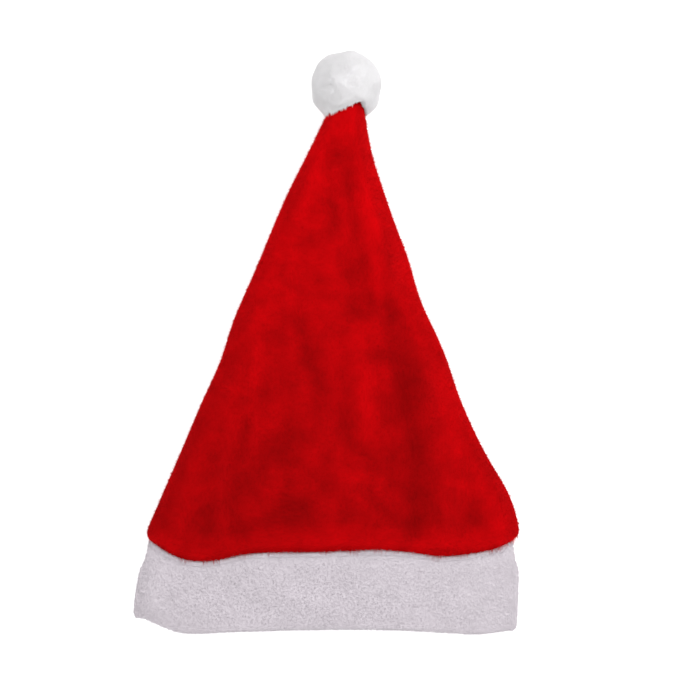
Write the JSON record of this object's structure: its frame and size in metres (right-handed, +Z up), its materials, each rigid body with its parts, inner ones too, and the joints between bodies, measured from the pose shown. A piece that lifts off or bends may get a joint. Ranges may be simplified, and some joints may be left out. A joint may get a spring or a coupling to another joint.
{
  "type": "santa hat",
  "caption": "Plush santa hat lying flat: tapering red crown with soft folds, folded white cuff open at the mouth, and a round white pompom sewn to the tip.",
  "frame": {"origin": "under the middle of the hat's box, on the surface that it lies on", "axes": "+X across the hat towards its right side as seen from above, +Y from the mouth to the pompom, +Z up from the surface"},
  "size_m": [0.2892, 0.4366, 0.0497],
  "materials": {
    "red_plush": "short-pile red plush",
    "white_plush": "long-pile white plush, folded double",
    "white_pompom": "dense white plush pile"
  },
  "bodies": {
    "root": {"crown": "red_plush", "cuff": "white_plush", "pompom": "white_pompom"}
  },
  "joints": []
}
